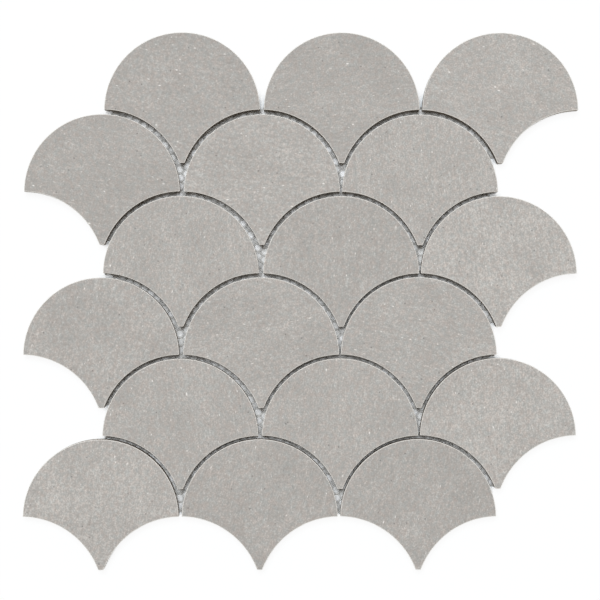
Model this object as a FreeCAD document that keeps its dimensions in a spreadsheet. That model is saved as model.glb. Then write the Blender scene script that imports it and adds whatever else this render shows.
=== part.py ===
import FreeCAD, Part
import math
import os

import Sketcher

# A sheet of fish-scale mosaic: rows of porcelain scales, cut by water jet from a larger tile and glued
# by their backs to a knitted net, so that many scales are laid in one go.
# The sheet lies face up. X runs along the rows, Y points at the top row, and Z = 0 is the floor.

os.makedirs("parts", exist_ok=True)
doc = FreeCAD.newDocument("FishScaleSheet")

SIZES = {
    "rows": 6,
    "columns": 3,
    "scale_width": 73.5,
    "scale_thickness": 8.0,
    "side_joint": 1.5,
    "arc_joint": 2.0,
    "row_pitch": 38.4,
    "tip_flat": 2.4,
    "tip_round": 0.5,
    "edge_bevel": 0.3,
    "row_drift": 0.22,
    "setting_play": 0.3,
    "net_cell": 3.9,
    "yarn_slant": 30.0,
    "yarn_width": 0.7,
    "yarn_thickness": 0.25,
    "net_setback": 1.5,
}

sheet = doc.addObject("Spreadsheet::Sheet", "Sizes")
for number, (name, value) in enumerate(SIZES.items(), start=1):
    sheet.set(f"A{number}", name)
    sheet.set(f"B{number}", str(value))
    sheet.setAlias(f"B{number}", name)
doc.recompute()

# The same relations, once as expressions that the document keeps and once as numbers.
# A scale is a half disc above its widest line. Below it, two hollow arcs follow the scales of the next
# row at the arc joint, and end at a blunt tip.
RADIUS = "(Sizes.scale_width / 2)"
PITCH = "(Sizes.scale_width + Sizes.side_joint)"
HOLLOW = f"({RADIUS} + Sizes.arc_joint)"
TIP_DROP = f"(Sizes.row_pitch - sqrt({HOLLOW}^2 - (({PITCH} - Sizes.tip_flat) / 2)^2))"
TOP_ROW = f"(((Sizes.rows - 1) * Sizes.row_pitch + {TIP_DROP} - {RADIUS}) / 2)"
NET_THICKNESS = "(2 * Sizes.yarn_thickness)"

rows = int(sheet.rows)
columns = int(sheet.columns)
radius = sheet.scale_width / 2
pitch = sheet.scale_width + sheet.side_joint
hollow = radius + sheet.arc_joint
tip_drop = sheet.row_pitch - math.sqrt(hollow**2 - ((pitch - sheet.tip_flat) / 2) ** 2)
tip_rise = sheet.row_pitch - tip_drop
top_row = ((rows - 1) * sheet.row_pitch + tip_drop - radius) / 2
net_thickness = 2 * sheet.yarn_thickness


def row_shift(row):
    """Share of the pitch by which a row stands to the right of the sheet's middle."""
    return 0.25 if row % 2 else -0.25


def steps_right(row, column):
    """Pitches from the sheet's middle to a scale's own middle."""
    return column - (columns + 1) / 2 + row_shift(row)


def rows_up(row):
    """Rows from the sheet's middle up to a row. Each row stands one drift further right than the next."""
    return (rows + 1) / 2 - row


def centre(row, column):
    """Middle of the widest line of a scale."""
    x = steps_right(row, column) * pitch + rows_up(row) * sheet.row_drift
    return FreeCAD.Vector(x, top_row - (row - 1) * sheet.row_pitch, 0)


# Scales are set by hand, so each one stands a little off the grid. A slow wave over rows and columns
# gives its share of the play, to the right and up the sheet. The wave's phase in radians is a part for
# each row, a part for each column and a start.
WAVE_RIGHT = (0.5, 2.8, 0.6)
WAVE_UP = (0.85, 0.46, 0.94)
places = [(row, column) for row in range(1, rows + 1) for column in range(1, columns + 1)]


def lean(row, column):
    """Shares of the play by which a scale stands off the grid, to the right and up."""
    return [math.sin(by_row * row + by_column * column + start)
            for by_row, by_column, start in (WAVE_RIGHT, WAVE_UP)]


def outline_lean():
    """Shares of the play by which the outermost scales carry the sheet's middle to the right and up."""
    # The drift makes the top row's last scale the rightmost one, and the bottom row's first the leftmost.
    right = lean(1, columns)[0]
    left = lean(rows, 1)[0]
    top = max(lean(1, column)[1] for column in range(1, columns + 1))
    bottom = min(lean(rows, column)[1] for column in range(1, columns + 1))
    return (right + left) / 2, (top + bottom) / 2


def origin_plane(body, role):
    return next(item for item in body.Origin.OriginFeatures if item.Role == role)


def corner_point():
    """Where a scale's round edge meets its hollow edge, on the right."""
    away = FreeCAD.Vector(pitch / 2, -sheet.row_pitch, 0)
    reach = away.Length
    along = (radius**2 - hollow**2 + reach**2) / (2 * reach)
    across = math.sqrt(radius**2 - along**2)
    direction = away.normalize()
    return direction * along + FreeCAD.Vector(-direction.y, direction.x, 0) * across


def scale_outline(body):
    """Sketch of one scale: a round edge, two hollow edges and the blunt tip."""
    sketch = body.newObject("Sketcher::SketchObject", body.Name + "_outline")
    sketch.AttachmentSupport = [(origin_plane(body, "XY_Plane"), "")]
    sketch.MapMode = "FlatFace"
    up = FreeCAD.Vector(0, 0, 1)
    corner = corner_point()
    tip = FreeCAD.Vector(sheet.tip_flat / 2, -tip_drop, 0)
    right = FreeCAD.Vector(pitch / 2, -sheet.row_pitch, 0)
    left = FreeCAD.Vector(-right.x, right.y, 0)
    at_corner = math.atan2(corner.y, corner.x)
    corner_from_right = math.atan2(corner.y - right.y, corner.x - right.x)
    tip_from_right = math.atan2(tip.y - right.y, tip.x - right.x)

    round_edge = sketch.addGeometry(
        Part.ArcOfCircle(Part.Circle(FreeCAD.Vector(), up, radius), at_corner, math.pi - at_corner))
    right_edge = sketch.addGeometry(
        Part.ArcOfCircle(Part.Circle(right, up, hollow), corner_from_right, tip_from_right))
    left_edge = sketch.addGeometry(
        Part.ArcOfCircle(Part.Circle(left, up, hollow), math.pi - tip_from_right,
                         math.pi - corner_from_right))
    tip_edge = sketch.addGeometry(Part.LineSegment(FreeCAD.Vector(-tip.x, tip.y, 0), tip))

    start, end, middle = 1, 2, 3
    origin_point = (-1, 1)
    vertical_axis = -2
    constrain = sketch.addConstraint
    constrain(Sketcher.Constraint("Coincident", round_edge, middle, *origin_point))
    constrain(Sketcher.Constraint("Coincident", round_edge, start, right_edge, start))
    constrain(Sketcher.Constraint("Coincident", round_edge, end, left_edge, end))
    constrain(Sketcher.Constraint("Coincident", right_edge, end, tip_edge, end))
    constrain(Sketcher.Constraint("Coincident", left_edge, start, tip_edge, start))
    constrain(Sketcher.Constraint("Symmetric", left_edge, middle, right_edge, middle, vertical_axis))
    constrain(Sketcher.Constraint("Equal", left_edge, right_edge))
    constrain(Sketcher.Constraint("Horizontal", tip_edge))
    driven = (
        (Sketcher.Constraint("Radius", round_edge, radius), RADIUS),
        (Sketcher.Constraint("Radius", right_edge, hollow), HOLLOW),
        (Sketcher.Constraint("DistanceX", *origin_point, right_edge, middle, right.x), f"{PITCH} / 2"),
        (Sketcher.Constraint("DistanceY", right_edge, middle, *origin_point, -right.y), "Sizes.row_pitch"),
        (Sketcher.Constraint("DistanceX", tip_edge, start, tip_edge, end, 2 * tip.x), "Sizes.tip_flat"),
    )
    for constraint, expression in driven:
        sketch.setExpression(f"Constraints[{constrain(constraint)}]", expression)
    return sketch


def upright_tip_edges(shape):
    """Names of the two upright edges at the blunt tip."""
    names = []
    for number, edge in enumerate(shape.Edges, start=1):
        low, high = edge.Vertexes[0].Point, edge.Vertexes[-1].Point
        is_upright = math.hypot(low.x - high.x, low.y - high.y) < 1e-6
        if is_upright and low.y < -tip_drop / 2:
            names.append(f"Edge{number}")
    return names


def top_face(shape):
    highest = max(range(len(shape.Faces)), key=lambda index: shape.Faces[index].CenterOfMass.z)
    return f"Face{highest + 1}"


def porcelain_scale(row, column):
    """One scale, cut square through the tile, with a rounded tip and bevelled upper edges."""
    body = doc.addObject("PartDesign::Body", f"scale_r{row}_c{column}")
    body.Label = body.Name
    pad = body.newObject("PartDesign::Pad", body.Name + "_cut")
    pad.Profile = scale_outline(body)
    pad.setExpression("Length", "Sizes.scale_thickness")
    body.Tip = pad
    doc.recompute()
    tip = body.newObject("PartDesign::Fillet", body.Name + "_tip")
    tip.Base = (pad, upright_tip_edges(pad.Shape))
    tip.setExpression("Radius", "Sizes.tip_round")
    body.Tip = tip
    doc.recompute()
    bevel = body.newObject("PartDesign::Chamfer", body.Name + "_bevel")
    bevel.Base = (tip, [top_face(tip.Shape)])
    bevel.setExpression("Size", "Sizes.edge_bevel")
    body.Tip = bevel
    right, up = (own - shift for own, shift in zip(lean(row, column), outline_lean()))
    body.setExpression("Placement.Base.x",
                       f"{steps_right(row, column)} * {PITCH} + {rows_up(row)} * Sizes.row_drift"
                       f" + ({right}) * Sizes.setting_play")
    body.setExpression("Placement.Base.y",
                       f"{TOP_ROW} - {row - 1} * Sizes.row_pitch + ({up}) * Sizes.setting_play")
    body.setExpression("Placement.Base.z", NET_THICKNESS)
    return body


def patch(left, right, low, high):
    """Upright block as thick as the net, between two lines across and two lines along the sheet."""
    return Part.makeBox(right - left, high - low, net_thickness, FreeCAD.Vector(left, low, 0))


def post(where, size):
    return Part.makeCylinder(size, net_thickness, where)


def scale_patch(row, column):
    """The net behind one scale, set back from the scale's free edges."""
    here = centre(row, column)
    low_edge = here.y - tip_drop + sheet.net_setback
    shape = post(here, radius - sheet.net_setback)
    for side in (-1, 1):
        below = here + FreeCAD.Vector(side * pitch / 2, -sheet.row_pitch, 0)
        shape = shape.cut(post(below, hollow + sheet.net_setback))
    return shape.cut(patch(here.x - radius, here.x + radius, here.y - radius, low_edge))


def joint_patch(row, column, side):
    """The net in the curved joint between a scale and the scale above it on one side."""
    here = centre(row, column)
    band = post(here, hollow + 2 * sheet.net_setback).cut(post(here, radius - 2 * sheet.net_setback))
    has_twin = has_scale_above(row, column, -side)
    near = 0 if has_twin else sheet.side_joint / 2
    far = hollow
    across = sorted((here.x + side * near, here.x + side * far))
    return band.common(patch(*across, here.y + tip_rise, here.y + 2 * radius))


def gap_patch(row, column):
    """The net between a scale and its neighbour on the right, up to the tip that hangs between them."""
    here = centre(row, column) + FreeCAD.Vector(pitch / 2, 0, 0)
    half = pitch / 2 - math.sqrt((radius - sheet.net_setback) ** 2 - tip_rise**2)
    return patch(here.x - half, here.x + half, here.y, here.y + tip_rise)


def has_scale_above(row, column, side):
    """Whether the row above has a scale half a pitch to that side."""
    above = steps_right(row, column) + side / 2
    return row > 1 and any(abs(steps_right(row - 1, other) - above) < 0.1
                           for other in range(1, columns + 1))


def net_ground():
    """The whole area that the net covers, as a plate."""
    patches = []
    for row, column in places:
        patches.append(scale_patch(row, column))
        patches += [joint_patch(row, column, side) for side in (-1, 1) if has_scale_above(row, column, side)]
        if row > 1 and column < columns:
            patches.append(gap_patch(row, column))
    return patches[0].multiFuse(patches[1:]).removeSplitter()


def yarn_lengths(ground, begin, finish):
    """Stretches of a straight line that lie on the ground, each as its first and last point."""
    along = finish - begin
    stretches = []
    for edge in ground.common(Part.makeLine(begin, finish)).Edges:
        points = sorted((vertex.Point for vertex in edge.Vertexes), key=along.dot)
        stretches.append((points[0], points[-1]))
    return stretches


def yarn_layer(name, ground, slant, level):
    """All yarns that run at one slant to the rows: parallel flat strands, cut square where the net ends."""
    turn = FreeCAD.Rotation(FreeCAD.Vector(0, 0, 1), slant)
    along = turn.multVec(FreeCAD.Vector(1, 0, 0))
    across = turn.multVec(FreeCAD.Vector(0, 1, 0))
    spacing = sheet.net_cell * math.cos(math.radians(slant))
    reach = ground.BoundBox.DiagonalLength
    count = math.ceil(reach / 2 / spacing)
    strands = []
    for step in range(-count, count + 1):
        middle = across * (step * spacing) + FreeCAD.Vector(0, 0, net_thickness / 2)
        for begin, finish in yarn_lengths(ground, middle - along * reach, middle + along * reach):
            length = (finish - begin).Length
            if length < sheet.net_cell:
                continue
            strand = Part.makeBox(length, sheet.yarn_width, sheet.yarn_thickness)
            corner = begin - across * (sheet.yarn_width / 2)
            strand.Placement = FreeCAD.Placement(FreeCAD.Vector(corner.x, corner.y, level), turn)
            strands.append(strand)
    layer = doc.addObject("Part::Feature", name)
    layer.Label = name
    layer.Shape = Part.makeCompound(strands)
    layer.Placement = FreeCAD.Placement()
    return layer


parts = [porcelain_scale(row, column) for row, column in places]
ground = net_ground()
# The net has six-sided cells. Its yarns are drawn straight, so that they frame the same cells as diamonds.
parts.append(yarn_layer("net_rising", ground, sheet.yarn_slant, 0))
parts.append(yarn_layer("net_falling", ground, -sheet.yarn_slant, sheet.yarn_thickness))
doc.recompute()

for item in doc.Objects:
    if "Invalid" in item.State or "Error" in item.State:
        raise RuntimeError(f"{item.Label} failed: {item.State}")

for part in parts:
    if part.Shape.isNull() or not part.Shape.isValid():
        raise RuntimeError(f"{part.Label} has no valid shape")
    part.Shape.exportStep(f"parts/{part.Label}.step")
    print(part.Label, len(part.Shape.Solids), "solids", round(part.Shape.Volume, 1), "cubic millimetres")
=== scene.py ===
# %% [markdown]
# # A sheet of fish-scale mosaic
#
# The object is a sheet of 18 light grey porcelain scales. They seem to be cut from large matt
# tiles, by water jet as is usual. They are laid in six rows that overlap like the scales of a
# fish, and glued to a knitted net. The CAD model already has every scale at full size and the
# net's reach, so this lesson starts from it. It adds what CAD doesn't give: the finish of the
# porcelain, the six-sided cells of the net, the glue in the joints, and the light and camera of
# the photograph.

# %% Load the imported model
import math
import random

import bmesh
import bpy
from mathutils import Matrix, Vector


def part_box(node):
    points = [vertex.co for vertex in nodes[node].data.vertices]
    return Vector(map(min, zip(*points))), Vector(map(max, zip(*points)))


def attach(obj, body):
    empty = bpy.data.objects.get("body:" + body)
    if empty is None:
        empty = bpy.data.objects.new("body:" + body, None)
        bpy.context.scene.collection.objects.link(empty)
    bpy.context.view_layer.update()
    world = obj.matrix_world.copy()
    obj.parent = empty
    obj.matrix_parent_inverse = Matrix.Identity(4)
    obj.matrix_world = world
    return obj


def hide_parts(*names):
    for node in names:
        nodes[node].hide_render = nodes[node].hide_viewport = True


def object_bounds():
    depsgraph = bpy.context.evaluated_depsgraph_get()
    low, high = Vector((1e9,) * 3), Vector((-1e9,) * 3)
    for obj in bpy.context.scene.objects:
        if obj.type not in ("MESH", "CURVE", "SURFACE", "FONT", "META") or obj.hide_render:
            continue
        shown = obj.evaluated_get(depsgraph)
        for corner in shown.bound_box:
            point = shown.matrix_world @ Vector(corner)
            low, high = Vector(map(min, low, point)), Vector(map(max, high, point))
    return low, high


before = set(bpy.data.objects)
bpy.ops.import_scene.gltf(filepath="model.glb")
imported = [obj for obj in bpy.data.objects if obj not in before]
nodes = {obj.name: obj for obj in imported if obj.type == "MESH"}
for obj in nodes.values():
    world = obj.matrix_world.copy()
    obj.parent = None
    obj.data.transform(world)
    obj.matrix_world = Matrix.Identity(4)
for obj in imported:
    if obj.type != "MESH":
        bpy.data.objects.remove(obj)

cad_box = [list(corner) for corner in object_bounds()]
scales = sorted(name for name in nodes if name.startswith("scale_"))
print(len(scales), "scales; box in mm:", [[round(v * 1000, 2) for v in c] for c in cad_box])

# %% [markdown]
# ## Where the camera hangs
#
# The photograph looks straight down on the sheet. Its scales are 155.8 pixels wide and taken as
# 73.5 mm, so one pixel is 0.4717 mm on their faces. The joints near the picture's edge show a
# little of the scales' upright sides, and how much they show gives the camera's distance, a
# little over a metre. A camera without perspective would be simpler, but it would hide those
# sides. So a lens is chosen whose picture is exactly as wide as 600 such pixels on the faces.
# The sheet isn't quite in the middle of the picture, so the camera hangs a little to its upper
# left.

# %% Camera
MM = 0.001
PICTURE_PIXELS = 600
PIXEL = 0.4717 * MM
CAMERA_DISTANCE = 1.15
PIXELS_RIGHT, PIXELS_DOWN = 0.5, 1.2    # where the sheet's middle is, from the picture's
face_height = cad_box[1][2]

camera = bpy.data.cameras.new("camera")
camera.lens = camera.sensor_width * CAMERA_DISTANCE / (PICTURE_PIXELS * PIXEL)
camera.clip_end = 20.0
camera_stand = bpy.data.objects.new("camera", camera)
camera_stand.location = (-PIXELS_RIGHT * PIXEL, PIXELS_DOWN * PIXEL, face_height + CAMERA_DISTANCE)
bpy.context.scene.collection.objects.link(camera_stand)
bpy.context.scene.camera = camera_stand
bpy.context.scene.view_settings.view_transform = "Standard"
print("lens", round(camera.lens, 1), "mm")

# %% [markdown]
# ## Colours
#
# Colours are written as sRGB hex, the way a paint shop's screen gives them. Blender calculates
# with linear light, so one function turns the one into the other.


# %% From a hex colour to linear light
def linear(hex_colour):
    """The linear colour, with alpha, of an sRGB hex colour."""
    parts = [int(hex_colour[i:i + 2], 16) / 255 for i in (0, 2, 4)]
    return [v / 12.92 if v <= 0.04045 else ((v + 0.055) / 1.055) ** 2.4 for v in parts] + [1.0]


print("mid grey b5b1ad is", [round(v, 3) for v in linear("b5b1ad")])

# %% [markdown]
# ## One helper for nodes
#
# A finish is a chain of shader nodes. This helper adds one node, sets its choices, and fills
# each of its sockets with a number or with the output of an earlier node. It returns the node's
# first output in use, so that a chain reads from top to bottom like a recipe.


# %% Add a node
def add(tree, kind, sockets=None, **choices):
    """Adds a node of that kind, and returns the first of its outputs that is in use."""
    node = tree.nodes.new("ShaderNode" + kind)
    for choice, value in choices.items():
        setattr(node, choice, value)
    by_name = {socket.identifier: socket for socket in node.inputs}
    for name, value in (sockets or {}).items():
        if isinstance(value, bpy.types.NodeSocket):
            tree.links.new(value, by_name[name])
        else:
            by_name[name].default_value = value
    return next(socket for socket in node.outputs if socket.enabled)


print("a node is added with add(tree, kind, sockets, choices)")

# %% [markdown]
# ## White for the camera only
#
# The photograph's background is pure white. If the light on the object made it so, the scales
# would be too bright. So the white is shown to the camera alone, and to rays that have passed
# through glass or off a shiny surface, which the Light Path node tells from the rays of light.


# %% Rays that see the background
def seen_directly(tree):
    """1 for what the camera sees, in a reflection and through glass too, and 0 for light."""
    ray = add(tree, "LightPath").node
    seen = add(tree, "Math", {"Value": ray.outputs["Is Camera Ray"],
                              "Value_001": ray.outputs["Is Glossy Ray"]}, operation="MAXIMUM")
    return add(tree, "Math", {"Value": seen, "Value_001": ray.outputs["Is Transmission Ray"]},
               operation="MAXIMUM")


print("three kinds of ray see the background: camera, glossy and transmission")

# %% [markdown]
# ## The light
#
# The photograph seems to have one soft lamp high above its upper edge, and pale walls that fill
# the shadows. The joints tell where the lamp is: they are lit to the bottom where they run
# towards it, on the right of each scale, and dark where they run across. A picture of a studio
# could light the scene as well, but a lamp and an even sky have few values to settle. They were
# settled by trial: rendered, compared with the brightness of the joints all round a scale, and
# changed. They come near the photograph, and other values might do as well. The two together
# give 1 on a level surface, at which a colour comes out as it is written. The walls' share is a
# little warm, and the lamp makes up for it.

# %% Soft lamp and pale surroundings
LAMP_TURN = math.radians(104)
LAMP_RISE = math.radians(75)
LAMP_DISTANCE = 4.0    # m
LAMP_SIDE = 1.5        # m, which blurs the shadows' edges
FILL_SHARE = 0.32      # of all the light comes from the walls
FILL_COLOUR = "fff6ea"

lamp = bpy.data.lights.new("soft_lamp", "AREA")
lamp.shape = "SQUARE"
lamp.size = LAMP_SIDE
lamp.energy = (1 - FILL_SHARE) * math.pi**2 * LAMP_DISTANCE**2 / math.sin(LAMP_RISE)
lamp.color = [(1 - FILL_SHARE * part) / (1 - FILL_SHARE) for part in linear(FILL_COLOUR)[:3]]
lamp_stand = bpy.data.objects.new("soft_lamp", lamp)
towards_lamp = Vector((math.cos(LAMP_TURN) * math.cos(LAMP_RISE),
                       math.sin(LAMP_TURN) * math.cos(LAMP_RISE), math.sin(LAMP_RISE)))
lamp_stand.location = towards_lamp * LAMP_DISTANCE
lamp_stand.rotation_euler = towards_lamp.to_track_quat("Z", "Y").to_euler()
bpy.context.scene.collection.objects.link(lamp_stand)

surroundings = bpy.data.worlds.new("pale_surroundings")
surroundings.use_nodes = True
sky = surroundings.node_tree
sky.nodes.clear()
seen = seen_directly(sky)
strength = add(sky, "MapRange", {"Value": seen, "To Min": FILL_SHARE, "To Max": 1.0})
colour = add(sky, "Mix", {"Factor_Float": seen, "A_Color": linear(FILL_COLOUR),
                          "B_Color": linear("ffffff")}, data_type="RGBA")
light = add(sky, "Background", {"Color": colour, "Strength": strength})
sky_output = sky.nodes.new("ShaderNodeOutputWorld")
sky.links.new(light, sky_output.inputs["Surface"])
bpy.context.scene.world = surroundings
print("lamp", round(lamp.energy, 1), "W, colour", [round(part, 3) for part in lamp.color])

# %% [markdown]
# ## The floor
#
# The sheet lies on a white table, which the photograph shows as pure white. Matt white paper
# scatters light evenly, and catches the shadows in the joints truly. In the open it is also made
# to look white to the camera, and an Ambient Occlusion node tells the open floor from the bottom
# of a joint. A part of the shadow round the sheet stays, so that it lies on something.

# %% White table
FLOOR_SIDE = 8.0         # m
PAPER_COLOUR = "eef3f6"
WHITE_STRENGTH = 1.02    # a little over 1, so that pure white is reached
OPEN_WITHIN = 4 * MM     # how far round a place the Ambient Occlusion node looks
SHUT_IN, OPEN = 0.44, 0.5    # what it gives for a place in a joint and for one in the open
OPEN_WHITE = 0.9         # the rest keeps the sheet's shadow

half = FLOOR_SIDE / 2
floor_mesh = bpy.data.meshes.new("table_top")
floor_mesh.from_pydata([(-half, -half, 0), (half, -half, 0), (half, half, 0), (-half, half, 0)],
                       [], [(0, 1, 2, 3)])
floor = bpy.data.objects.new("table_top", floor_mesh)
bpy.context.scene.collection.objects.link(floor)
paper = bpy.data.materials.new("matt_white_paper")
paper.use_nodes = True
tree = paper.node_tree
tree.nodes.clear()
matt = add(tree, "BsdfDiffuse", {"Color": linear(PAPER_COLOUR)})
white = add(tree, "Emission", {"Color": linear("ffffff"), "Strength": WHITE_STRENGTH})
open_sky = add(tree, "AmbientOcclusion", {"Distance": OPEN_WITHIN}, samples=8)
openness = add(tree, "MapRange", {"Value": open_sky.node.outputs["AO"], "From Min": SHUT_IN,
                                  "From Max": OPEN, "To Max": OPEN_WHITE})
share = add(tree, "Math", {"Value": seen_directly(tree), "Value_001": openness},
            operation="MULTIPLY")
surface = add(tree, "MixShader", {"Fac": share, "Shader": matt, "Shader_001": white})
output = tree.nodes.new("ShaderNodeOutputMaterial")
tree.links.new(surface, output.inputs["Surface"])
floor_mesh.materials.append(paper)
print("table", FLOOR_SIDE, "m wide")

# %% [markdown]
# ## Matt through-body porcelain
#
# The scales look like unglazed porcelain: clays and feldspar in several greys, pressed and fired
# to stone, with the pattern right through. Close up it is a salt-and-pepper grain of under a
# millimetre, gathered in small mottles, and faint streaks and clouds from the way the powder fell
# into the press. A picture of a tile could be laid on the scales, but it would repeat, and blur
# close up. So each of these is one noise pattern, scaled by its size in millimetres, and their
# sum moves the colour along a short ramp of greys. Small patches of it are a little pink or teal.

# %% Sizes and colours of the grain
GRAIN = 0.75            # mm, the salt-and-pepper grain
MOTTLE = 1.6            # mm, clumps of grains
CLOUD = 16.0            # mm
STREAK_LONG, STREAK_WIDE = 6.0, 1.3    # mm
STREAK_TURN = math.radians(35)
# How far each one moves along the greys.
GRAIN_GAIN, MOTTLE_GAIN, CLOUD_GAIN, STREAK_GAIN = 1.1, 0.38, 0.3, 0.45
GREYS = [(0.0, "928e89"), (0.5, "b1ada8"), (1.0, "dfdbd5")]
TINT_PATCH = 2.2        # mm
PINKISH, TEALISH = "fef9f7", "f6fbfd"
print("a grain is", round(GRAIN * MM / PIXEL, 1), "pixels wide in the picture")


# %% The grain
def grained(tree, slab, shade):
    """The greys of the tile at that place. Returns the colour, the grain and the streaks."""
    grain = add(tree, "TexNoise", {"Vector": slab, "Scale": 1 / GRAIN, "Detail": 2.0,
                                   "Roughness": 0.65})
    cloud = add(tree, "TexNoise", {"Vector": slab, "Scale": 1 / CLOUD, "Detail": 3.0})
    along = add(tree, "Mapping", {"Vector": slab, "Rotation": (0, 0, -STREAK_TURN),
                                  "Scale": (1 / STREAK_LONG, 1 / STREAK_WIDE, 0.2)})
    streak = add(tree, "TexNoise", {"Vector": along, "Scale": 1.0, "Detail": 4.0,
                                    "Roughness": 0.6, "Distortion": 1.2})
    mottle = add(tree, "TexNoise", {"Vector": slab, "Scale": 1 / MOTTLE, "Detail": 1.0})
    gains = (grain, GRAIN_GAIN), (mottle, MOTTLE_GAIN), (cloud, CLOUD_GAIN), (streak, STREAK_GAIN)
    tone = 0.5 + shade - sum(gain for _, gain in gains) / 2
    for pattern, gain in gains:
        tone = add(tree, "Math", {"Value": pattern, "Value_001": gain, "Value_002": tone},
                   operation="MULTIPLY_ADD")
    ramp = add(tree, "ValToRGB", {"Fac": tone})
    stops = ramp.node.color_ramp.elements
    stops.new(GREYS[1][0])
    for stop, (position, hex_colour) in zip(stops, GREYS):
        stop.position = position
        stop.color = linear(hex_colour)

    patches = add(tree, "TexNoise", {"Vector": slab, "Scale": 1 / TINT_PATCH, "Detail": 2.0})
    tint_share = add(tree, "MapRange", {"Value": patches, "From Min": 0.3, "From Max": 0.7})
    tint = add(tree, "Mix", {"Factor_Float": tint_share, "A_Color": linear(PINKISH),
                             "B_Color": linear(TEALISH)}, data_type="RGBA")
    body = add(tree, "Mix", {"Factor_Float": 1.0, "A_Color": ramp, "B_Color": tint},
               data_type="RGBA", blend_type="MULTIPLY")
    return body, grain, streak


print("the gains add up to", round(GRAIN_GAIN + MOTTLE_GAIN + CLOUD_GAIN + STREAK_GAIN, 2))

# %% [markdown]
# ## Flecks and specks
#
# Whitish flecks of feldspar and a few dark specks lie in the grain. Scattering thousands of small
# discs would be slow. A cell pattern gives them all at once: each cell has one fleck at its
# middle, with a size and a strength of its own. The flecks crowd where the streaks are pale, and
# are longer along the streaks than across.

# %% Sizes and colours of the flecks
FLECK_APART, FLECK_SIZE = 1.6, 0.46    # mm between flecks; radius, as a share of that
FLECK_STRETCH = 1.8
FLECK_CORE = 0.4        # the part of a fleck that has its full colour
FLECK_POWER = 0.9       # a higher one makes more of the flecks small
SPECK_APART, SPECK_SIZE = 5.0, 0.11    # in the same way
FLECK_COLOUR, SPECK_COLOUR = "f0ede8", "6d6966"
print("the largest fleck is", round(2 * FLECK_SIZE * FLECK_APART, 2), "mm across its streak")


# %% Flecks and specks
def flecked(tree, slab, body, streak):
    """The colour with flecks and specks laid over it."""
    spread = add(tree, "Mapping", {"Vector": slab, "Rotation": (0, 0, -STREAK_TURN),
                                   "Scale": (1 / FLECK_STRETCH, 1, 1)})
    flecks = add(tree, "TexVoronoi", {"Vector": spread, "Scale": 1 / FLECK_APART})
    luck = add(tree, "SeparateColor", {"Color": flecks.node.outputs["Color"]}).node
    crowd = add(tree, "MapRange", {"Value": streak, "From Min": 0.35, "From Max": 0.7})
    size = add(tree, "Math", {"Value": luck.outputs["Red"], "Value_001": FLECK_POWER},
               operation="POWER")
    size = add(tree, "Math", {"Value": size, "Value_001": crowd}, operation="MULTIPLY")
    size = add(tree, "Math", {"Value": size, "Value_001": FLECK_SIZE}, operation="MULTIPLY")
    core = add(tree, "Math", {"Value": size, "Value_001": FLECK_CORE}, operation="MULTIPLY")
    fleck = add(tree, "MapRange", {"Value": flecks, "From Min": size, "From Max": core})
    fleck = add(tree, "Math", {"Value": fleck, "Value_001": luck.outputs["Green"]},
                operation="MULTIPLY")
    body = add(tree, "Mix", {"Factor_Float": fleck, "A_Color": body,
                             "B_Color": linear(FLECK_COLOUR)}, data_type="RGBA")

    specks = add(tree, "TexVoronoi", {"Vector": slab, "Scale": 1 / SPECK_APART})
    speck = add(tree, "MapRange", {"Value": specks, "From Min": SPECK_SIZE, "From Max": 0.0})
    return add(tree, "Mix", {"Factor_Float": speck, "A_Color": body,
                             "B_Color": linear(SPECK_COLOUR)}, data_type="RGBA")


print("the largest speck is", round(2 * SPECK_SIZE * SPECK_APART, 2), "mm wide")

# %% [markdown]
# ## Bevel, sides and back
#
# The bevel is painted paler than the face, as a painted highlight where light catches the edge.
# The upright sides are a dull brownish grey, darker than the body: partly their own colour and
# partly painted shade that darkens the joints, with a tone fitted to the joints. They have upright
# strokes as a water jet leaves them. The back doesn't show in the photograph. It is a guess, after
# the backs of such tiles: a pale coat that keeps the tile from sticking in the kiln, low ribs, and
# smears of glue. The faces of each part could be chosen by hand and given a finish of their own.
# It is less work to let the upward part of the surface's normal tell them apart, on all the scales
# at once: it is 1 on the face, about 0.7 on the bevel, 0 on the sides and -1 on the back.

# %% Where the bevel, the sides and the back begin, and their colours
BEVEL_FROM, BEVEL_FULL = 0.98, 0.80    # the normal's upward part
SIDE_FROM, SIDE_FULL = 0.35, 0.05
BACK_FROM, BACK_FULL = -0.5, -0.9
# The bevel's colour is a painted highlight; the sides' colour is partly painted shade.
BEVEL_HIGHLIGHT_COLOUR, SIDE_COLOUR_AND_SHADE = "f0ede8", "908373"
BODY_IN_CUT = 0.2                      # how much of the body's colour shows in the cut
STROKES = (2.2, 2.2, 0.18)             # to a mm, along X, Y and up: they are about 5 mm high
COAT_COLOUR, SMEAR_COLOUR = "c8c5bf", "dcdedd"
SMEAR = 5.0                            # mm
RIB_SCALE = 0.05                       # ribs 6.3 mm apart: a wave is pi / (10 * scale) long
print("the ribs are", round(math.pi / (10 * RIB_SCALE), 1), "mm apart")


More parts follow.
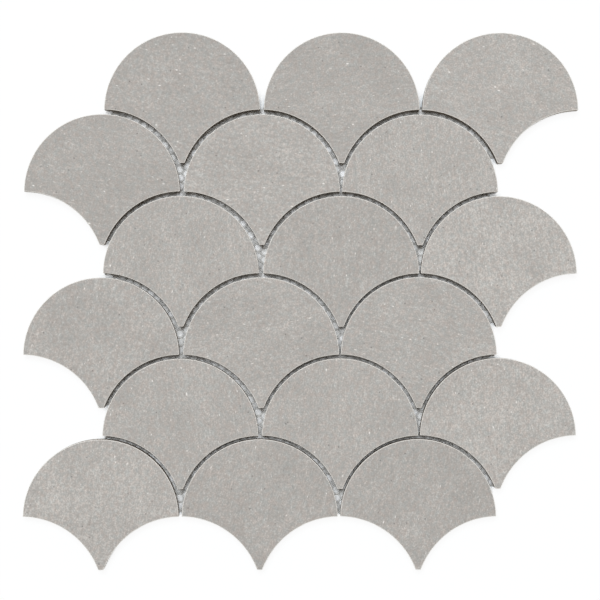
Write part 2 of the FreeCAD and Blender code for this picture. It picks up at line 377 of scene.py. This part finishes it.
# %% Bevel and sides
def cut_out(tree, slab, up, body, grain):
    """The colour, with a painted highlight on the bevel and partly painted shade on the sides, and
    the height of the relief.
    """
    # painted highlight: the bevel is painted paler than the face, as where light catches the edge
    bevel_highlight = add(tree, "MapRange", {"Value": up, "From Min": BEVEL_FROM, "From Max": BEVEL_FULL})
    pale = add(tree, "Mix", {"Factor_Float": bevel_highlight, "A_Color": body,
                             "B_Color": linear(BEVEL_HIGHLIGHT_COLOUR)}, data_type="RGBA")
    side = add(tree, "MapRange", {"Value": up, "From Min": SIDE_FROM, "From Max": SIDE_FULL})
    strokes = add(tree, "Mapping", {"Vector": slab, "Scale": STROKES})
    stroke = add(tree, "TexNoise", {"Vector": strokes, "Scale": 1.0, "Detail": 2.0})
    # painted shade: the sides' dark grey is partly their own colour, partly the joints' shade
    cut = add(tree, "Mix", {"Factor_Float": BODY_IN_CUT, "A_Color": linear(SIDE_COLOUR_AND_SHADE),
                            "B_Color": body}, data_type="RGBA")
    body = add(tree, "Mix", {"Factor_Float": side, "A_Color": pale, "B_Color": cut},
               data_type="RGBA")
    height = add(tree, "Mix", {"Factor_Float": side, "A_Float": grain, "B_Float": stroke})
    return body, height


print("a stroke is about", round(1 / STROKES[2], 1), "mm high")


# %% Back
def backed(tree, slab, up, body, height):
    """The colour and the height of the relief with the coat, ribs and smears of the back."""
    under = add(tree, "MapRange", {"Value": up, "From Min": BACK_FROM, "From Max": BACK_FULL})
    ribs = add(tree, "TexWave", {"Vector": slab, "Scale": RIB_SCALE, "Distortion": 0.0},
               wave_profile="TRI")
    smear = add(tree, "TexNoise", {"Vector": slab, "Scale": 1 / SMEAR, "Detail": 3.0})
    smear = add(tree, "MapRange", {"Value": smear, "From Min": 0.48, "From Max": 0.60})
    back = add(tree, "Mix", {"Factor_Float": smear, "A_Color": linear(COAT_COLOUR),
                             "B_Color": linear(SMEAR_COLOUR)}, data_type="RGBA")
    body = add(tree, "Mix", {"Factor_Float": under, "A_Color": body, "B_Color": back},
               data_type="RGBA")
    height = add(tree, "Mix", {"Factor_Float": under, "A_Float": height, "B_Float": ribs})
    return body, height


print("the back is", COAT_COLOUR, "with smears of", SMEAR_COLOUR)

# %% [markdown]
# ## The finish of one scale
#
# The parts above make one finish. Unglazed porcelain is matt, a little smoother where its glassy
# grains are cut through, so the grain sets the roughness too. Its relief is a few hundredths of a
# millimetre. It is too fine to model, and as a bump it still breaks up the light.

# %% Porcelain
PORCELAIN_IOR = 1.5
SMOOTHEST, ROUGHEST = 0.55, 0.8
RELIEF, RELIEF_STRENGTH = 0.06 * MM, 0.35


def porcelain(name, cut_from, turn, shade):
    """The finish of a scale cut from that place (in mm) of a tile, turned and shaded so much."""
    material = bpy.data.materials.new(name)
    material.use_nodes = True
    tree = material.node_tree
    shader = tree.nodes["Principled BSDF"]
    place = add(tree, "TexCoord").node.outputs["Object"]
    slab = add(tree, "Mapping", {"Vector": place, "Location": cut_from,
                                 "Rotation": (0, 0, turn), "Scale": (1000, 1000, 1000)})
    body, grain, streak = grained(tree, slab, shade)
    body = flecked(tree, slab, body, streak)
    normal = add(tree, "NewGeometry").node.outputs["Normal"]
    up = add(tree, "SeparateXYZ", {"Vector": normal}).node.outputs["Z"]
    body, height = cut_out(tree, slab, up, body, grain)
    body, height = backed(tree, slab, up, body, height)
    roughness = add(tree, "MapRange", {"Value": grain, "To Min": SMOOTHEST,
                                       "To Max": ROUGHEST})
    relief = add(tree, "Bump", {"Height": height, "Strength": RELIEF_STRENGTH,
                                "Distance": RELIEF})
    tree.links.new(body, shader.inputs["Base Color"])
    tree.links.new(roughness, shader.inputs["Roughness"])
    tree.links.new(relief, shader.inputs["Normal"])
    shader.inputs["IOR"].default_value = PORCELAIN_IOR
    return material


print("roughness from", SMOOTHEST, "to", ROUGHEST)

# %% [markdown]
# ## Every scale from another place of the tile
#
# No two scales in the photograph match, as if each were cut from another place of a large tile
# and laid as it comes. One finish for all would run on from scale to scale across the joints. So
# each one gets its own copy, with its own place and turn on the tile, and a shade of its own that
# is a little lighter or darker.

# %% Finish the scales
SEED = 7
SHADE_SPREAD = 0.07    # of the way along the greys
draw = random.Random(SEED)
for name in scales:
    cut_from = (draw.uniform(-500, 500), draw.uniform(-500, 500), draw.uniform(-3, 3))
    turn = draw.choice((0, math.pi / 2, math.pi, -math.pi / 2)) + draw.uniform(-0.3, 0.3)
    finish = porcelain("matt_porcelain_" + name.removeprefix("scale_"), cut_from, turn,
                       draw.uniform(-SHADE_SPREAD, SHADE_SPREAD))
    mesh = nodes[name].data
    mesh.materials.clear()
    mesh.materials.append(finish)
print(len(scales), "scales finished, the last with", len(finish.node_tree.nodes), "nodes")

# %% [markdown]
# ## The knitted net
#
# The scales are glued to a net that shows in the joints. Its cells are six-sided, flat above
# and below, 3.9 mm high, and their rows run 30 degrees up to the right and to the left. Such a
# net is knitted: each yarn zigzags along the rows and is looped to the yarn above and the yarn
# below it in turn, so a cell has single yarns on its slanting sides and double ones above and
# below. CAD keeps the net as straight strands that frame the same cells as diamonds. A flat sheet
# with a pattern of holes would be easy, but it would catch no light on its edges. So the yarns
# are drawn one by one and zigzag as the real ones do, as far as the strands reach.

# %% Read how far the net reaches from the CAD strands
CELL_HEIGHT = 3.9 * MM
SLANT = math.radians(30)
ROW_APART = CELL_HEIGHT * math.cos(SLANT)    # between parallel strands, and between columns


def strand_runs(node, slant):
    """Where the straight strands of a layer start and end, by their number from the middle."""
    along = Vector((math.cos(slant), math.sin(slant), 0))
    across = Vector((-math.sin(slant), math.cos(slant), 0))
    mesh = bmesh.new()
    mesh.from_mesh(node.data)
    bmesh.ops.remove_doubles(mesh, verts=mesh.verts, dist=1e-6)
    seen, runs = set(), {}
    for start in mesh.verts:
        if start.index in seen:
            continue
        strand, queue = [], [start]
        seen.add(start.index)
        while queue:
            vert = queue.pop()
            strand.append(vert.co)
            for edge in vert.link_edges:
                other = edge.other_vert(vert)
                if other.index not in seen:
                    seen.add(other.index)
                    queue.append(other)
        number = round(sum(p.dot(across) for p in strand) / len(strand) / ROW_APART)
        ends = [p.dot(along) for p in strand]
        runs.setdefault(number, []).append((min(ends), max(ends)))
    mesh.free()
    return along, across, runs


layers = [strand_runs(nodes["net_rising"], SLANT), strand_runs(nodes["net_falling"], -SLANT)]


def on_net(x, y):
    """Whether the strands of both layers reach that point."""
    point = Vector((x, y, 0))
    return all(any(start <= point.dot(along) <= end
                   for start, end in runs.get(round(point.dot(across) / ROW_APART), ()))
               for along, across, runs in layers)


print([sum(len(runs) for runs in layer[2].values()) for layer in layers], "strands")

# %% [markdown]
# ## Polyester yarn
#
# The yarn is taken to be polyester: a soft bundle of fine plastic threads, flattened and soaked
# with glue to a dull light grey. The threads give it a silky, faintly streaked surface, duller
# where less glue is in it.

# %% The finish of the yarns
THREADS = 0.15    # mm, coarser than the real threads of 0.02, which can't show
SOAKED = 2.5      # mm, how soon a yarn changes from dry to soaked with glue
YARN_COLOUR, THREAD_COLOUR = "c0bfbb", "d1d0cc"
DRY_ROUGHNESS, SOAKED_ROUGHNESS = 0.7, 0.4
YARN_RELIEF, YARN_RELIEF_STRENGTH = 0.02 * MM, 0.1
POLYESTER_IOR = 1.57


def polyester_yarn(name):
    """The finish of the net's yarns."""
    material = bpy.data.materials.new(name)
    material.use_nodes = True
    tree = material.node_tree
    shader = tree.nodes["Principled BSDF"]
    place = add(tree, "TexCoord").node.outputs["Object"]
    thread = add(tree, "TexNoise", {"Vector": place, "Scale": 1000 / THREADS, "Detail": 1.0})
    glue = add(tree, "TexNoise", {"Vector": place, "Scale": 1000 / SOAKED, "Detail": 2.0})
    mixed = add(tree, "Math", {"Value": thread, "Value_001": glue}, operation="ADD")
    share = add(tree, "MapRange", {"Value": mixed, "From Min": 0.75, "From Max": 1.25})
    colour = add(tree, "Mix", {"Factor_Float": share, "A_Color": linear(YARN_COLOUR),
                               "B_Color": linear(THREAD_COLOUR)}, data_type="RGBA")
    shine = add(tree, "MapRange", {"Value": glue, "From Min": 0.4, "From Max": 0.6,
                                   "To Min": DRY_ROUGHNESS, "To Max": SOAKED_ROUGHNESS})
    relief = add(tree, "Bump", {"Height": thread, "Strength": YARN_RELIEF_STRENGTH,
                                "Distance": YARN_RELIEF})
    tree.links.new(colour, shader.inputs["Base Color"])
    tree.links.new(shine, shader.inputs["Roughness"])
    tree.links.new(relief, shader.inputs["Normal"])
    shader.inputs["IOR"].default_value = POLYESTER_IOR
    return material


yarn_finish = polyester_yarn("knitted_polyester_yarn")
print(yarn_finish.name, "has", len(yarn_finish.node_tree.nodes), "nodes")

# %% [markdown]
# ## Knitting
#
# Each yarn is a flattened six-sided tube. From one column of cells to the next it climbs or
# falls by half a cell, and in each column it lies level for a while, side by side with its
# neighbour. Every other yarn lies a little higher, as where one loop passes over another. Curves
# with a bevel would be round, so the rings of each tube are set point by point. The small wander
# of each ring keeps the cells from looking machined.

# %% The line of one yarn
BESIDE = 0.20 * MM       # from the middle of a double yarn to the middle of each of its two
LEVEL_SHARE = 0.3        # of a cell's side, on each side of the column's middle
WANDER = 0.07 * MM
half_cell = CELL_HEIGHT / 2
side = CELL_HEIGHT / math.sqrt(3)
columns = math.ceil(cad_box[1][0] / ROW_APART)
yarns = math.ceil(cad_box[1][1] / half_cell)


def yarn_line(yarn):
    """The points of one yarn from left to right, in pieces where it lies on the net."""
    pieces, points = [], []
    for column in range(-columns, columns + 1):
        is_low = (yarn - column) % 2 == 0
        level = (yarn if is_low else yarn + 1) * half_cell + (BESIDE if is_low else -BESIDE)
        middle = column * ROW_APART
        for x, y in ((middle - LEVEL_SHARE * side, level), (middle + LEVEL_SHARE * side, level),
                     (middle + ROW_APART / 2, (yarn + 0.5) * half_cell)):
            wander = [draw.uniform(-WANDER, WANDER) for _ in range(2)]
            if on_net(x, y):
                points.append(Vector((x + wander[0], y + wander[1], 0)))
            else:
                pieces.append(points)
                points = []
    return [points for points in pieces + [points] if len(points) > 3]


print(2 * columns + 1, "columns of cells and", 2 * yarns + 1, "yarns at most")

# %% Draw the zigzag yarns
YARN_WIDTH = 0.75 * MM
YARN_THICKNESS = 0.26 * MM
UNEVEN = 0.05            # how much a yarn's half width varies, as a share of its width
CORNERS = 6
CLEARANCE = 0.6 * YARN_THICKNESS    # from the net's top or underside to a yarn's middle
net_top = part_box("net_falling")[1].z


def knit(name, layer, first, finish):
    """Draws every other yarn, from the first, and replaces a layer of CAD strands."""
    mesh = bmesh.new()
    height = CLEARANCE if first == 0 else net_top - CLEARANCE
    for yarn in range(-yarns + first, yarns + 1, 2):
        for points in yarn_line(yarn):
            before = None
            for number, point in enumerate(points):
                ahead = points[min(number + 1, len(points) - 1)]
                behind = points[max(number - 1, 0)]
                along = (ahead - behind).normalized()
                across = Vector((-along.y, along.x, 0))
                half_width = YARN_WIDTH * (0.5 + draw.uniform(-UNEVEN, UNEVEN))
                ring = []
                for corner in range(CORNERS):
                    angle = math.tau / CORNERS * corner
                    place = point + across * (half_width * math.cos(angle))
                    place.z = height + YARN_THICKNESS / 2 * math.sin(angle)
                    ring.append(mesh.verts.new(place))
                if before:
                    for corner in range(CORNERS):
                        following = (corner + 1) % CORNERS
                        mesh.faces.new((before[corner], before[following], ring[following],
                                        ring[corner]))
                else:
                    mesh.faces.new(ring)
                before = ring
            mesh.faces.new(before)
    bmesh.ops.recalc_face_normals(mesh, faces=mesh.faces)
    knitted = bpy.data.meshes.new(name)
    mesh.to_mesh(knitted)
    mesh.free()
    knitted.shade_smooth()
    knitted.materials.append(finish)
    piece = bpy.data.objects.new(name, knitted)
    bpy.context.scene.collection.objects.link(piece)
    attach(piece, "root")
    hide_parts(layer)
    print(name, sum(len(face.vertices) - 2 for face in knitted.polygons), "triangles")


knit("knitted_yarns_below", "net_rising", 0, yarn_finish)
knit("knitted_yarns_above", "net_falling", 1, yarn_finish)

# %% [markdown]
# ## Glue in the joints
#
# The cells of the net show as pale spots in the lit joints of the photograph, which bare table
# between the yarns wouldn't give. The likely cause is glue that was squeezed out along the scales
# and has run into the net. Here it closes the cells under the joints with thin glossy skins,
# hollow like water in a spoon.

# %% The finish of the glue
GLUE_WAVES = 2.5    # mm
CLOUDY_GLUE, CLEAR_GLUE = "d2d2cf", "eff0f0"
GLUE_ROUGHNESS = 0.35
GLUE_IOR = 1.47
GLUE_RELIEF, GLUE_RELIEF_STRENGTH = 0.1 * MM, 0.5


def dried_glue(name):
    """The finish of the glue, anywhere from cloudy to clear from one skin to the next."""
    material = bpy.data.materials.new(name)
    material.use_nodes = True
    tree = material.node_tree
    shader = tree.nodes["Principled BSDF"]
    own = add(tree, "NewGeometry").node.outputs["Random Per Island"]
    place = add(tree, "TexCoord").node.outputs["Object"]
    waves = add(tree, "TexNoise", {"Vector": place, "Scale": 1000 / GLUE_WAVES, "Detail": 0.0})
    share = add(tree, "Math", {"Value": waves, "Value_001": own}, operation="MULTIPLY")
    share = add(tree, "MapRange", {"Value": share, "From Min": 0.1, "From Max": 0.5})
    colour = add(tree, "Mix", {"Factor_Float": share, "A_Color": linear(CLOUDY_GLUE),
                               "B_Color": linear(CLEAR_GLUE)}, data_type="RGBA")
    relief = add(tree, "Bump", {"Height": waves, "Strength": GLUE_RELIEF_STRENGTH,
                                "Distance": GLUE_RELIEF})
    tree.links.new(colour, shader.inputs["Base Color"])
    tree.links.new(relief, shader.inputs["Normal"])
    shader.inputs["Roughness"].default_value = GLUE_ROUGHNESS
    shader.inputs["IOR"].default_value = GLUE_IOR
    return material


skin_finish = dried_glue("dried_tile_glue_skin")
print(skin_finish.name, "has", len(skin_finish.node_tree.nodes), "nodes")

# %% [markdown]
# ## One skin to a cell
#
# One sheet of glue under everything would hide the net, so each cell gets a skin of its own: a
# six-sided plate with a hollow top, whose edge is hidden in the yarns. Only the cells under the
# joints are filled. Where the joints are follows from the middle and the radius of each scale's
# round upper half, and these are read from the boxes of the CAD scales.

# %% Which cells lie under a joint
GLUE_REACH = 3.0 * MM       # how far the glue runs under the scales
JOINT_WIDTH = 2.0 * MM
ARC_DROP = 10 * MM          # how far below its middle a scale's round half goes on
boxes = {name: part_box(name) for name in scales}
radius = (boxes[scales[0]][1].x - boxes[scales[0]][0].x) / 2
middles = [((low.x + high.x) / 2, high.y - radius) for low, high in boxes.values()]


def in_joint(x, y):
    """Whether a place is within reach of the gap round the upper half of any scale."""
    return any(y > middle_y - ARC_DROP
               and -GLUE_REACH < math.hypot(x - middle_x, y - middle_y) - radius
               < GLUE_REACH + JOINT_WIDTH
               for middle_x, middle_y in middles)


print("radius of a scale:", round(radius / MM, 2), "mm")

# %% Fill the cells
SKIN_BOTTOM = 0.13 * MM
SKIN_REACH = 0.97 * side    # a little less than to the middle of the yarns
SKIN_HOLLOW = (0.26 * MM, 0.19 * MM, 0.165 * MM)    # its height at the yarns, half way and inmost


def plate(mesh, rings, inmost):
    """Adds a plate from its rings, from the lowest inwards, and the inmost point of its top."""
    rings = [[mesh.verts.new(place) for place in ring] for ring in rings]
    mesh.faces.new(reversed(rings[0]))
    peak = mesh.verts.new(inmost)
    corners = len(rings[0])
    for corner in range(corners):
        following = (corner + 1) % corners
        for number, (outer, inner) in enumerate(zip(rings, rings[1:])):
            face = mesh.faces.new((outer[corner], outer[following], inner[following],
                                   inner[corner]))
            face.smooth = number > 0
        mesh.faces.new((rings[-1][corner], rings[-1][following], peak)).smooth = True


def hexagon(x, y, reach, level):
    """The corners of a six-sided ring round that place."""
    turns = [math.tau / CORNERS * corner for corner in range(CORNERS)]
    return [(x + reach * math.cos(turn), y + reach * math.sin(turn), level) for turn in turns]


mesh = bmesh.new()
filled = 0
for column in range(-columns, columns + 1):
    for half_step in range(-yarns, yarns + 1):
        x, y = column * ROW_APART, half_step * half_cell
        edge = hexagon(x, y, SKIN_REACH, SKIN_BOTTOM)
        if (half_step - column) % 2 and in_joint(x, y) and all(on_net(*p[:2]) for p in edge):
            top = hexagon(x, y, SKIN_REACH, SKIN_HOLLOW[0])
            halfway = hexagon(x, y, SKIN_REACH / 2, SKIN_HOLLOW[1])
            plate(mesh, (edge, top, halfway), (x, y, SKIN_HOLLOW[2]))
            filled += 1
skins = bpy.data.meshes.new("glue_skins")
mesh.to_mesh(skins)
mesh.free()
skins.materials.append(skin_finish)
piece = bpy.data.objects.new("glue_skins", skins)
bpy.context.scene.collection.objects.link(piece)
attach(piece, "root")
print(filled, "cells filled,", sum(len(face.vertices) - 2 for face in skins.polygons), "triangles")
